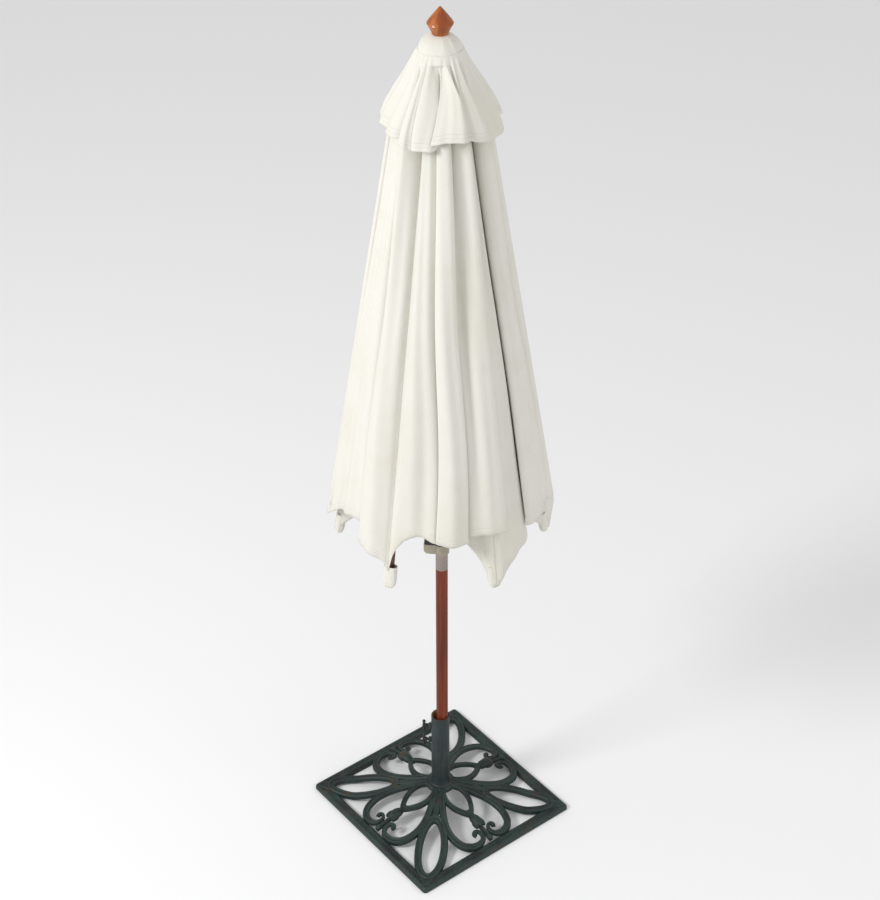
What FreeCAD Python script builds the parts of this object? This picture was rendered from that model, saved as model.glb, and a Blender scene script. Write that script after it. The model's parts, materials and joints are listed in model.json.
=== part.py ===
import FreeCAD, Part
import math
import os
from FreeCAD import Vector

# Patio umbrella with its stand. Millimetres, +Z up.
# The origin is where the pole's axis meets the floor.

# ---- umbrella: overall ----
total_height = 2420.0        # floor to the finial's tip
rib_count = 6
rib_start_angle = -8.0       # bearing of the first rib, degrees from +X
rest_angle = 10.0            # ribs from plumb, canopy closed
open_angle = 64.5            # ribs from plumb, canopy open

# ---- ribs and stretchers ----
rib_length = 1345.0          # crown pin to rib tip
rib_width = 11.0             # sideways
rib_depth = 18.0             # in the plane that the rib swings in
rib_eye_radius = 8.0
rib_shoulder = 0.8           # bar stepped back beside its eye
pin_radius = 2.0
pin_running_clearance = 0.08
stretcher_length = 530.0     # also the crown pin to the pin that it hangs on
stretcher_width = 9.0
stretcher_depth = 14.0
cheek_thickness = 3.0
cheek_length = 70.0
cheek_bridge = 8.0
side_clearance = 0.6

# ---- poles ----
pole_radius = 16.0
pole_wall = 2.0
lower_pole_top = 850.0
ferrule_height = 55.0
ferrule_spigot = 70.0
spigot_clearance = 0.15
pole_floor_gap = 1.0         # pole foot above the socket's bottom plate

# ---- crown, runner, finial ----
crown_radius = 44.0
crown_below_pin = 17.0
crown_above_pin = 30.0
crown_dome = 18.0
crown_roof = 8.0             # wood left above the pole's end
crown_pin_bite = 4.0         # pin's end in the hub, each side of its slot
pin_circle_radius = 32.0     # crown pins and runner pins from the pole's axis
finial_height = 65.0
finial_radius = 30.5
finial_foot_radius = 18.0
finial_waist = 26.0          # foot to the widest ring
finial_peg_radius = 6.0
finial_peg_length = 36.0
runner_height = 42.0
runner_radius = 43.0
runner_clearance = 0.4
hub_core_wall = 3.0          # stock left around the bore behind each slot

# ---- canopy cloth, as plain solids ----
cloth_thickness = 2.5
cloth_over_rib = 18.0        # cloth's inner face clear of the rib's outer face
canopy_start = 190.0         # below the crown pin
canopy_hem_rise = 40.0       # middle of the stand-in hem above the rib tips
vent_thickness = 3.0
vent_section = ((56.0, 6.0), (78.0, 30.0), (108.0, 84.0), (138.0, 142.0), (134.0, 200.0))  # radius, drop
seam_gap_angle = 1.5         # half the gap between neighbouring panels, degrees
pocket_length = 62.0
pocket_wall = 2.0
pocket_clearance = 0.5
cap_thickness = 1.6
cap_clearance = 1.0
cap_rim_above_pin = 8.0      # lets the ribs pass under the cap when they are up
cap_bore_gap = 0.2

# ---- crank ----
crank_bearing = 225.0        # side of the pole that the crank is on
bracket_height = 30.0
bracket_wall = 4.0
bracket_beyond_pole = 30.0   # bracket's end from the pole's face
bracket_width = 26.0
case_height = 84.0
case_width = 30.0
case_wall = 2.5
drum_radius = 10.0
drum_flange_radius = 10.9
axle_radius = 3.5
axle_clearance = 0.1
arm_length = 88.0
arm_thickness = 6.0
arm_width = 16.0
arm_gap = 6.5                # clears the bracket's collar
knob_radius = 9.0
knob_length = 58.0
knob_pin_radius = 3.0
knob_end_wall = 4.0
knob_foot_gap = 1.0
case_gap = 0.5               # case from the pole
case_inset = 2.0             # case's outer face behind the bracket's
case_corner = 4.0
axle_height_share = 0.55     # of the case's height
axle_stub = 1.0              # axle beyond the case on the far side
drum_side_gap = 0.6
drum_flange = 1.5

# ---- stand ----
base_side = 520.0
base_frame_width = 30.0
base_frame_height = 15.0
base_corner_radius = 9.0
dome_top = 72.0              # casting's height at its hub
dome_edge = 20.0             # casting's height at its frame
dome_thickness = 12.0
hub_radius = 42.0
dome_edge_radius = 250.0
casting_bar = 20.0           # width of the open-work's bars
petal_near = 62.0            # loop on each side: its start and half width
petal_half = 80.0
bud_near = 28.0              # small pointed loop inside each petal
bud_far = 136.0
bud_half = 38.0
leaf_near = 108.0            # pointed loop on each diagonal
leaf_gap = 34.0              # its tip short of the stand's corner
leaf_half = 47.0
leaf_hole_near = 140.0
leaf_hole_gap = 60.0
leaf_hole_half = 26.0
spoke_width = 26.0
spoke_length = 96.0
stalk_start = 128.0
stalk_width = 12.0
bead_near = 148.0
bead_far = 186.0
bead_half = 13.0
scroll_inset = 60.0          # scrolls' middle from the stand's edge
scroll_side = 15.0
scroll_radius = 11.0
scroll_eye = 4.5
stem_radius = 25.5
stem_wall = 2.5
stem_top = 325.0
stem_floor = 5.0
liner_wall = 1.5
pole_side_gap = 0.3
bolt_radius = 6.0
bolt_head_radius = 10.0
bolt_head_height = 7.0
screw_heights = (281.0, 229.0)
screw_radius = 4.0
screw_tip_gap = 0.3
nut_radius = 9.0
nut_height = 8.0
screw_reach = 46.0           # stem's axis to the middle of the wing bar
wing_length = 40.0
wing_radius = 4.5
thread_clearance = 0.15

up = Vector(0, 0, 1)
origin = Vector(0, 0, 0)
crown_pin_z = total_height - finial_height - crown_above_pin - crown_dome - cap_thickness - cap_clearance
runner_pin_drop = 2 * stretcher_length * math.cos(math.radians(rest_angle))
runner_pin_z = crown_pin_z - runner_pin_drop
bracket_reach = pole_radius + bracket_beyond_pole
stem_inner_radius = stem_radius - stem_wall
liner_inner_radius = stem_inner_radius - liner_wall
pole_lean = liner_inner_radius - pole_radius - pole_side_gap   # pole pushed to the far wall by the screws
stem_bearing = Vector(math.cos(math.radians(crank_bearing)), math.sin(math.radians(crank_bearing)), 0)
stem_axis = stem_bearing * pole_lean
ferrule_top = lower_pole_top + ferrule_height
pole_foot = dome_top + stem_floor + pole_floor_gap

parts = {}


def keep(name, shape):
    parts[name] = shape


def radial(bearing):
    """Unit vector in plan at a bearing in degrees."""
    angle = math.radians(bearing)
    return Vector(math.cos(angle), math.sin(angle), 0)


def rib_bearing(index):
    return rib_start_angle + 360.0 / rib_count * index


def swing_axis(bearing):
    """Axis of a hinge that swings a hanging bar outwards at this bearing."""
    out = radial(bearing)
    return Vector(out.y, -out.x, 0)


def tube(radius, inner, low, high, centre=origin):
    """Upright tube between two heights."""
    at = Vector(centre.x, centre.y, low)
    outer = Part.makeCylinder(radius, high - low, at, up)
    if inner <= 0:
        return outer
    return outer.cut(Part.makeCylinder(inner, high - low, at, up))


def placed(shape, at, bearing, lean=0.0):
    """Turns a shape that hangs in the XZ plane outwards by lean, then to its bearing."""
    out = shape.copy()
    out.rotate(origin, Vector(0, -1, 0), lean)
    out.rotate(origin, up, bearing)
    out.translate(at)
    return out


def hanging_bar(length, width, depth, eye):
    """Bar that hangs from the origin: round eye at the top, pin along Y."""
    bar = Part.makeBox(depth, width, length, Vector(-depth / 2, -width / 2, -length))
    ring = Part.makeCylinder(eye, width, Vector(0, -width / 2, 0), Vector(0, 1, 0))
    return bar.fuse(ring)


def cross_pin(radius, length, at=origin):
    """Round pin along Y, centred on a point."""
    return Part.makeCylinder(radius, length, at - Vector(0, length / 2, 0), Vector(0, 1, 0))


def pin_point(bearing, height):
    return radial(bearing) * pin_circle_radius + Vector(0, 0, height)


def slots(width, low, high, inner):
    """Radial slots, open outwards, one for each rib."""
    reach = crown_radius * 2
    made = []
    for index in range(rib_count):
        box = Part.makeBox(reach, width, high - low, Vector(inner, -width / 2, low))
        box.rotate(origin, up, rib_bearing(index))
        made.append(box)
    return made


# ---------------------------------------------------------------- stand


def pointed_oval(near, far, half_width):
    """Face of two arcs that meet at points on the +X axis."""
    middle = (near + far) / 2
    a, b = Vector(near, 0, 0), Vector(far, 0, 0)
    left = Part.Arc(a, Vector(middle, half_width, 0), b).toShape()
    right = Part.Arc(b, Vector(middle, -half_width, 0), a).toShape()
    return Part.Face(Part.Wire([left, right]))


def oval(near, far, half_width):
    """Ellipse face along the +X axis."""
    ellipse = Part.Ellipse(Vector((near + far) / 2, 0, 0), (far - near) / 2, half_width)
    return Part.Face(Part.Wire([ellipse.toShape()]))


def casting_motif():
    """Plan faces of one quarter of the open-work, along +X, as (solid, hole) pairs."""
    half = base_side / 2
    corner = half * math.sqrt(2)
    petal_far = half - base_frame_width / 2
    petal = (oval(petal_near, petal_far, petal_half),
             oval(petal_near + casting_bar, petal_far - casting_bar, petal_half - casting_bar))
    bud = (pointed_oval(bud_near, bud_far, bud_half),
           pointed_oval(hub_radius, bud_far - casting_bar, bud_half / 2))
    leaf = (pointed_oval(leaf_near, corner - leaf_gap, leaf_half),
            pointed_oval(leaf_hole_near, corner - leaf_hole_gap, leaf_hole_half))
    return petal, bud, leaf


def casting_spine():
    """Stalk, bead and two scrolls that stand in each petal."""
    half = base_side / 2
    end = half - base_frame_width / 2
    stalk = Part.makePlane(end - stalk_start, stalk_width, Vector(stalk_start, -stalk_width / 2, 0))
    bead = oval(bead_near, bead_far, bead_half)
    scrolls = []
    for side in (-1, 1):
        at = Vector(half - scroll_inset, side * scroll_side, 0)
        rim = Part.Face(Part.Wire([Part.makeCircle(scroll_radius, at, up)]))
        eye = Part.Face(Part.Wire([Part.makeCircle(scroll_eye, at, up)]))
        scrolls.append(rim.cut(eye))
    return [stalk, bead] + scrolls


def prism(face, turn):
    solid = face.extrude(Vector(0, 0, dome_top + dome_thickness))
    solid.rotate(origin, up, turn)
    return solid


def make_base():
    half = base_side / 2
    petal, bud, leaf = casting_motif()
    bars, holes = [], []
    for quarter in range(4):
        turn = 90.0 * quarter
        bars.append(prism(petal[0].cut(petal[1]), turn))
        bars.append(prism(bud[0].cut(bud[1]), turn))
        bars.append(prism(leaf[0].cut(leaf[1]), turn + 45))
        spoke = Part.makePlane(spoke_length, spoke_width, Vector(hub_radius / 2, -spoke_width / 2, 0))
        bars.append(prism(spoke, turn + 45))
        holes.append(prism(bud[1], turn))
        holes.append(prism(leaf[1], turn + 45))
        for face in casting_spine():
            bars.append(prism(face, turn))
    hub = Part.makeCylinder(hub_radius, dome_top + dome_thickness, origin, up)
    openwork = hub.fuse(bars)
    reach = half * math.sqrt(2)
    low = dome_edge - dome_thickness
    profile = Part.makePolygon([
        Vector(0, 0, dome_top - dome_thickness),
        Vector(hub_radius, 0, dome_top - dome_thickness),
        Vector(dome_edge_radius, 0, low),
        Vector(reach, 0, low),
        Vector(reach, 0, dome_edge),
        Vector(dome_edge_radius, 0, dome_edge),
        Vector(hub_radius, 0, dome_top),
        Vector(0, 0, dome_top),
        Vector(0, 0, dome_top - dome_thickness),
    ])
    dome = Part.Face(profile).revolve(origin, up, 360)
    openwork = openwork.common(dome)
    block = Part.makeBox(base_side, base_side, dome_top, Vector(-half, -half, 0))
    openwork = openwork.common(block)
    frame = Part.makeBox(base_side, base_side, base_frame_height, Vector(-half, -half, 0))
    upright = [edge for edge in frame.Edges if abs(edge.Vertexes[0].X - edge.Vertexes[1].X) < 1e-6
               and abs(edge.Vertexes[0].Y - edge.Vertexes[1].Y) < 1e-6]
    frame = frame.makeFillet(base_corner_radius, upright)
    inner = half - base_frame_width
    window = Part.makeBox(2 * inner, 2 * inner, base_frame_height, Vector(-inner, -inner, 0))
    frame = frame.cut(window)
    casting = frame.fuse(openwork).removeSplitter()
    bolt_hole = Part.makeCylinder(bolt_radius, dome_top, origin, up)
    casting = casting.cut(bolt_hole)
    casting = max(casting.Solids, key=lambda solid: solid.Volume)
    casting.translate(stem_axis)
    keep("base_plate", casting)


def make_stem():
    wall = tube(stem_radius, stem_inner_radius, dome_top, stem_top, stem_axis)
    floor = tube(stem_radius, bolt_radius, dome_top, dome_top + stem_floor, stem_axis)
    stem = wall.fuse(floor)
    liner = tube(stem_inner_radius, liner_inner_radius, dome_top + stem_floor, stem_top - 1, stem_axis)
    side = stem_bearing
    nuts = []
    for index, height in enumerate(screw_heights):
        start = stem_axis + Vector(0, 0, height)
        shank = Part.makeCylinder(screw_radius + thread_clearance, stem_radius + nut_height + 1, start, side)
        nut = Part.makeCylinder(nut_radius, stem_radius + nut_height, start, side)
        nut = nut.cut(tube(stem_radius, 0, dome_top, stem_top, stem_axis)).cut(shank)
        nuts.append(nut)
        stem = stem.cut(shank)
        liner = liner.cut(shank)
        tip = Vector(0, 0, height) + side * (pole_radius + screw_tip_gap)
        bar_middle = start + side * screw_reach
        screw = Part.makeCylinder(screw_radius, (bar_middle - tip).Length, tip, side)
        across = Vector(-side.y, side.x, 0)
        wing = Part.makeCylinder(wing_radius, wing_length, bar_middle - across * (wing_length / 2), across)
        screw = screw.fuse(wing)
        screw.rotate(bar_middle, side, 90)
        keep(("upper", "lower")[index] + "_thumb_screw", screw)
    keep("base_stem", stem)
    keep("stem_liner", liner)
    keep("stem_nuts", Part.makeCompound(nuts))
    under = dome_top - dome_thickness
    foot = Vector(stem_axis.x, stem_axis.y, under)
    shank = Part.makeCylinder(bolt_radius, dome_thickness + stem_floor, foot, up)
    head = Part.makeCylinder(bolt_head_radius, bolt_head_height, foot - up * bolt_head_height, up)
    keep("stem_bolt", shank.fuse(head))


# ---------------------------------------------------------------- poles


def make_poles():
    inner = pole_radius - pole_wall
    keep("lower_pole", tube(pole_radius, inner, pole_foot, lower_pole_top))
    spigot = inner - spigot_clearance
    collar = tube(pole_radius, spigot - pole_wall, lower_pole_top, ferrule_top)
    core = tube(spigot, spigot - pole_wall, lower_pole_top - ferrule_spigot, ferrule_top + ferrule_spigot)
    keep("pole_ferrule", collar.fuse(core))
    keep("upper_pole", tube(pole_radius, inner, ferrule_top, crown_pin_z + crown_above_pin - crown_roof))


def make_crank():
    """Bracket, reel case, reel, arm and knob, modelled with the crank's side along +X and then turned."""
    side = Vector(1, 0, 0)
    low = ferrule_top
    collar = tube(pole_radius + bracket_wall, pole_radius, low, low + bracket_height)
    shelf = Part.makeBox(bracket_reach, bracket_width, bracket_height, Vector(0, -bracket_width / 2, low))
    outer_edge = [edge for edge in shelf.Edges
                  if all(abs(v.X - bracket_reach) < 1e-6 and abs(v.Z - low) < 1e-6 for v in edge.Vertexes)]
    shelf = shelf.makeFillet(bracket_height * 0.4, outer_edge)
    bracket = collar.fuse(shelf).cut(tube(pole_radius, 0, low, low + bracket_height))
    case_low = low + bracket_height
    case_out = bracket_reach - case_inset
    case_in = pole_radius + case_gap
    case_depth = case_out - case_in
    case = Part.makeBox(case_depth, case_width, case_height, Vector(case_in, -case_width / 2, case_low))
    case = case.makeFillet(case_corner, [edge for edge in case.Edges
                                         if all(abs(v.X - case_out) < 1e-6 for v in edge.Vertexes)])
    room = Part.makeBox(case_depth - 2 * case_wall, case_width - 2 * case_wall,
                        case_height - 2 * case_wall,
                        Vector(case_in + case_wall, -case_width / 2 + case_wall, case_low + case_wall))
    case = case.cut(room)
    axle_at = Vector((case_in + case_out) / 2, 0, case_low + case_height * axle_height_share)
    case = case.cut(cross_pin(axle_radius + axle_clearance, case_width + 2, axle_at))
    drum_length = case_width - 2 * (case_wall + drum_side_gap)
    axle_low = -case_width / 2 - axle_stub
    arm_y = case_width / 2 + arm_gap
    axle_foot = Vector(axle_at.x, axle_low, axle_at.z)
    axle = Part.makeCylinder(axle_radius, arm_y - axle_low, axle_foot, Vector(0, 1, 0))
    drum = cross_pin(drum_radius, drum_length, axle_at)
    flanges = [Part.makeCylinder(drum_flange_radius, drum_flange, axle_at + Vector(0, y, 0), Vector(0, 1, 0))
               for y in (-drum_length / 2, drum_length / 2 - drum_flange)]
    reel = axle.fuse([drum] + flanges)
    arm = hanging_bar(arm_length, arm_thickness, arm_width, arm_width / 2)
    arm = arm.fuse(cross_pin(arm_width / 2, arm_thickness, Vector(0, 0, -arm_length)))
    arm.rotate(origin, Vector(0, 1, 0), 180)
    arm.translate(axle_at + Vector(0, arm_y + arm_thickness / 2, 0))
    knob_at = axle_at + Vector(0, arm_y + arm_thickness, arm_length)
    bore_length = knob_length - knob_end_wall
    stub = Part.makeCylinder(knob_pin_radius, bore_length, knob_at, Vector(0, 1, 0))
    arm = arm.fuse(stub)
    knob_foot = knob_at + Vector(0, knob_foot_gap, 0)
    knob = Part.makeCylinder(knob_radius, knob_length, knob_foot, Vector(0, 1, 0))
    knob = knob.makeFillet(knob_radius / 3, [edge for edge in knob.Edges if len(edge.Vertexes) == 1])
    bore_radius = knob_pin_radius + axle_clearance
    knob = knob.cut(Part.makeCylinder(bore_radius, bore_length, knob_foot, Vector(0, 1, 0)))
    for name, shape in (("crank_bracket", bracket), ("crank_case", case), ("crank_reel", reel),
                        ("crank_arm", arm), ("crank_knob", knob)):
        shape.rotate(origin, up, crank_bearing)
        keep(name, shape)
    return axle_at


# ---------------------------------------------------------------- crown and runner


def make_crown():
    slot_inner = pole_radius + hub_core_wall
    low, high = crown_pin_z - crown_below_pin, crown_pin_z + crown_above_pin
    hub = Part.makeCylinder(crown_radius, high - low, Vector(0, 0, low), up)
    crown_cone = Part.makeCone(crown_radius, finial_foot_radius, crown_dome, Vector(0, 0, high), up)
    hub = hub.fuse(crown_cone)
    hub = hub.cut(slots(rib_width + 2 * side_clearance, low, crown_pin_z + rib_depth * 0.75, slot_inner))
    hub = hub.cut(Part.makeCylinder(pole_radius, high - crown_roof - low, Vector(0, 0, low), up))
    peg_foot = Vector(0, 0, total_height - finial_height - finial_peg_length)
    hub = hub.cut(Part.makeCylinder(finial_peg_radius, finial_peg_length, peg_foot, up))
    pins = []
    pin_length = rib_width + 2 * (side_clearance + crown_pin_bite)
    for index in range(rib_count):
        bearing = rib_bearing(index)
        pin = placed(cross_pin(pin_radius, pin_length), pin_point(bearing, crown_pin_z), bearing)
        hub = hub.cut(pin)
        pins.append(pin)
    keep("crown_hub", hub)
    keep("crown_pins", Part.makeCompound(pins))
    foot = total_height - finial_height
    cone = Part.makeCone(finial_foot_radius, finial_radius, finial_waist, Vector(0, 0, foot), up)
    waist = Vector(0, 0, foot + finial_waist)
    point = Part.makeCone(finial_radius, 0, finial_height - finial_waist, waist, up)
    peg = Part.makeCylinder(finial_peg_radius, finial_peg_length, peg_foot, up)
    keep("finial", cone.fuse([point, peg]))
    inner = crown_radius + cap_clearance
    slope = crown_dome / (crown_radius - finial_foot_radius)
    rim_low = crown_pin_z + cap_rim_above_pin
    eave = high + cap_clearance - cap_clearance * slope
    top = high + crown_dome + cap_clearance
    bore = finial_peg_radius + cap_bore_gap
    inside = [Vector(inner, 0, rim_low), Vector(inner, 0, eave), Vector(finial_foot_radius, 0, top),
              Vector(bore, 0, top)]
    outside = [Vector(bore, 0, top + cap_thickness), Vector(finial_foot_radius, 0, top + cap_thickness),
               Vector(inner + cap_thickness, 0, eave + cap_thickness * (1 - slope)),
               Vector(inner + cap_thickness, 0, rim_low)]
    profile = Part.makePolygon(inside + outside + inside[:1])
    keep("canopy_cap", Part.Face(profile).revolve(origin, up, 360))


def make_runner():
    low, high = runner_pin_z - runner_height / 2, runner_pin_z + runner_height / 2
    bore = pole_radius + runner_clearance
    body = tube(runner_radius, bore, low, high)
    keep("runner", body.cut(slots(stretcher_width + 2 * side_clearance, low, high, bore + hub_core_wall)))


def make_ribs():
    cheek_inner = rib_width / 2 + side_clearance / 2
    cheek_outer = cheek_inner + cheek_thickness
    for index in range(rib_count):
        bearing = rib_bearing(index)
        number = str(index + 1)
        top = pin_point(bearing, crown_pin_z)
        along = radial(bearing) * math.sin(math.radians(rest_angle)) - up * math.cos(math.radians(rest_angle))
        joint = top + along * stretcher_length
        bar = hanging_bar(rib_length, rib_width, rib_depth, rib_eye_radius)
        shoulder = Vector(rib_eye_radius - rib_shoulder, -rib_width / 2, -rib_eye_radius)
        bar = bar.cut(Part.makeBox(rib_depth, rib_width, rib_eye_radius * 2, shoulder))
        bar = bar.cut(cross_pin(pin_radius + pin_running_clearance, rib_width + 2))
        bar = bar.cut(cross_pin(pin_radius, rib_width + 2, Vector(0, 0, -stretcher_length)))
        keep("rib_" + number, placed(bar, top, bearing, rest_angle))
        keep("rib_pin_" + number, placed(cross_pin(pin_radius, 2 * cheek_outer + 1), joint, bearing))

        bar_length = stretcher_length - cheek_length + cheek_bridge
        stretcher = Part.makeBox(stretcher_depth, stretcher_width, bar_length,
                                 Vector(-stretcher_depth / 2, -stretcher_width / 2, -stretcher_length))
        foot = Vector(0, 0, -stretcher_length)
        stretcher = stretcher.fuse(cross_pin(stretcher_depth / 2, stretcher_width, foot))
        for low_y in (-cheek_outer, cheek_inner):
            cheek = Part.makeBox(stretcher_depth, cheek_thickness, cheek_length,
                                 Vector(-stretcher_depth / 2, low_y, -cheek_length))
            eye_foot = Vector(0, low_y, 0)
            eye = Part.makeCylinder(stretcher_depth / 2, cheek_thickness, eye_foot, Vector(0, 1, 0))
            stretcher = stretcher.fuse([cheek, eye])
        bridge = Part.makeBox(stretcher_depth, 2 * cheek_outer, cheek_bridge,
                              Vector(-stretcher_depth / 2, -cheek_outer, -cheek_length))
        stretcher = stretcher.fuse(bridge)
        stretcher = stretcher.cut(cross_pin(pin_radius + pin_running_clearance, 2 * cheek_outer + 2))
        keep("stretcher_" + number, placed(stretcher, joint, bearing, -rest_angle))

        inner_x = rib_depth / 2 + pocket_clearance
        inner_y = rib_width / 2 + pocket_clearance
        inner_low = Vector(-inner_x, -inner_y, -rib_length - pocket_clearance)
        outer_low = inner_low - Vector(pocket_wall, pocket_wall, pocket_wall)
        outer_x = 2 * (inner_x + pocket_wall)
        outer_y = 2 * (inner_y + pocket_wall)
        pocket = Part.makeBox(outer_x, outer_y, pocket_length, outer_low)
        hollow = Part.makeBox(2 * inner_x, 2 * inner_y, pocket_length, inner_low)
        keep("rib_pocket_" + number, placed(pocket.cut(hollow), top, bearing, rest_angle))


# ---------------------------------------------------------------- canopy


def panel(profile_points, index):
    """Cone-shaped cloth panel between one rib and the next, revolved from its section."""
    points = [Vector(radius, 0, height) for radius, height in profile_points]
    section = Part.Face(Part.makePolygon(points + [points[0]]))
    first = rib_bearing(index) + seam_gap_angle
    section.rotate(origin, up, first)
    return section.revolve(origin, up, 360.0 / rib_count - 2 * seam_gap_angle)


def make_canopy():
    slope = math.tan(math.radians(rest_angle))
    offset = (rib_depth / 2 + cloth_over_rib) / math.cos(math.radians(rest_angle))
    tip_z = crown_pin_z - rib_length * math.cos(math.radians(rest_angle))

    def inner_radius(height):
        return pin_circle_radius + offset + (crown_pin_z - height) * slope

    top = crown_pin_z - canopy_start
    hem = tip_z + canopy_hem_rise
    thick = cloth_thickness / math.cos(math.radians(rest_angle))
    canopy = [(inner_radius(top), top), (inner_radius(top) + thick, top),
              (inner_radius(hem) + thick, hem), (inner_radius(hem), hem)]
    vent = [(radius, crown_pin_z - drop) for radius, drop in vent_section]
    vent += [(radius + vent_thickness, crown_pin_z - drop) for radius, drop in reversed(vent_section)]
    for index in range(rib_count):
        keep("canopy_panel_" + str(index + 1), panel(canopy, index))
        keep("vent_panel_" + str(index + 1), panel(vent, index))


make_base()
make_stem()
make_poles()
axle = make_crank()
make_crown()
make_runner()
make_ribs()
make_canopy()

os.makedirs("parts", exist_ok=True)
for name, shape in parts.items():
    shape.exportStep(os.path.join("parts", name + ".step"))
print(len(parts), "parts; crown pin", round(crown_pin_z, 2), "runner pin", round(runner_pin_z, 2))
print("crank axle", round(axle.x, 2), round(axle.z, 2))
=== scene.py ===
import bpy
import json
import math
import numpy as np
from mathutils import Matrix, Vector


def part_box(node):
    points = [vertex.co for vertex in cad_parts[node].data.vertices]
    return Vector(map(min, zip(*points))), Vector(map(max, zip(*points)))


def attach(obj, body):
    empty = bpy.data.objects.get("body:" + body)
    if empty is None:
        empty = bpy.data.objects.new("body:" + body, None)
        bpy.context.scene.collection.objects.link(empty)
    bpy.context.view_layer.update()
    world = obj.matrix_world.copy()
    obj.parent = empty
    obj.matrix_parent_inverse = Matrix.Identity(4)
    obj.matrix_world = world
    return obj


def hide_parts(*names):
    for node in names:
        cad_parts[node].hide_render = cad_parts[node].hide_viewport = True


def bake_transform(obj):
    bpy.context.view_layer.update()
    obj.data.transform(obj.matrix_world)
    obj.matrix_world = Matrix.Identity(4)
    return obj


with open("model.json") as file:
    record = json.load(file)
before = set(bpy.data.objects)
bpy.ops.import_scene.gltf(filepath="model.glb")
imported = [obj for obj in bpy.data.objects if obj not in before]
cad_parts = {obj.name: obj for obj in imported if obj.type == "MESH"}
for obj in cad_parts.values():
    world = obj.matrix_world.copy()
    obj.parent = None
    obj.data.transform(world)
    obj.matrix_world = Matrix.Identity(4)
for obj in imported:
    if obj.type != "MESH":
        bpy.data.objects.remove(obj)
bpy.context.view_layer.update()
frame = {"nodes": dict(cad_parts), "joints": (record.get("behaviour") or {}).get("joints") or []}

nodes = frame["nodes"]
joints = {joint["name"]: joint for joint in frame["joints"]}
ribCount = 6
crownPin = Vector(joints["canopy_open"]["pos_m"])
crownZ = crownPin.z
pinCircle = math.hypot(crownPin.x, crownPin.y)
ribBearing = math.atan2(crownPin.y, crownPin.x)
sector = 2 * math.pi / ribCount
stemLow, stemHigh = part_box("base_stem")
stemX, stemY = (stemLow.x + stemHigh.x) / 2, (stemLow.y + stemHigh.y) / 2
crankBearing = math.radians(225)
print("frame loaded:", len(nodes), "nodes")


# a node's output socket: maths on it adds Math nodes
class Wire:
    def __init__(self, paint, socket):
        self.paint, self.socket = paint, socket

    def maths(self, operation, other=None):
        values = {0: self}
        if other is not None:
            values[1] = other
        return self.paint.add("ShaderNodeMath", {"operation": operation}, values)

    def __add__(self, other):
        return self.maths("ADD", other)

    def __radd__(self, other):
        return self.maths("ADD", other)

    def __sub__(self, other):
        return self.maths("SUBTRACT", other)

    def __mul__(self, other):
        return self.maths("MULTIPLY", other)

    def __rmul__(self, other):
        return self.maths("MULTIPLY", other)

    def __truediv__(self, other):
        return self.maths("DIVIDE", other)

    def __pow__(self, other):
        return self.maths("POWER", other)

    def __rsub__(self, other):
        return self.paint.add("ShaderNodeMath", {"operation": "SUBTRACT"}, {0: other, 1: self})


# one material and the nodes that feed its shader
class Paint:
    def __init__(self, name):
        self.material = bpy.data.materials.new(name)
        self.material.use_nodes = True
        self.tree = self.material.node_tree
        self.shader = self.tree.nodes["Principled BSDF"]

    def add(self, kind, settings=None, sockets=None, out=0):
        node = self.tree.nodes.new(kind)
        for key, value in (settings or {}).items():
            if key == "stops":
                ramp = node.color_ramp
                while len(ramp.elements) < len(value):
                    ramp.elements.new(1.0)
                for element, (place, colour) in zip(ramp.elements, value):
                    element.position, element.color = place, (*colour, 1)
            else:
                setattr(node, key, value)
        for key, value in (sockets or {}).items():
            self.feed(node.inputs[key], value)
        return Wire(self, node.outputs[out])

    def feed(self, socket, value):
        if isinstance(value, Wire):
            self.tree.links.new(value.socket, socket)
        elif isinstance(value, tuple) and len(value) == 3 and socket.type == "RGBA":
            socket.default_value = (*value, 1)
        else:
            socket.default_value = value

    def place(self, scale=(1, 1, 1)):
        at = self.add("ShaderNodeTexCoord", out="Object")
        return self.add("ShaderNodeMapping", {}, {0: at, "Scale": scale})

    def noise(self, at, scale, detail=4.0, rough=0.5):
        sockets = {"Vector": at, "Scale": scale, "Detail": detail, "Roughness": rough}
        return self.add("ShaderNodeTexNoise", {}, sockets)

    def fade(self, wire, low, high, outLow=0.0, outHigh=1.0):
        sockets = {0: wire, 1: low, 2: high, 3: outLow, 4: outHigh}
        return self.add("ShaderNodeMapRange", {"interpolation_type": "SMOOTHSTEP"}, sockets)

    def mix(self, share, a, b):
        return self.add("ShaderNodeMix", {"data_type": "RGBA"}, {0: share, 6: a, 7: b}, out=2)

    def axis(self, at, name):
        return self.add("ShaderNodeSeparateXYZ", {}, {0: at}, out=name)

    def bump(self, height, distance, strength=1.0):
        return self.add("ShaderNodeBump", {}, {"Height": height, "Distance": distance, "Strength": strength})

    def finish(self, **sockets):
        for name, value in sockets.items():
            self.feed(self.shader.inputs[name.replace("_", " ")], value)
        return self.material


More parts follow.
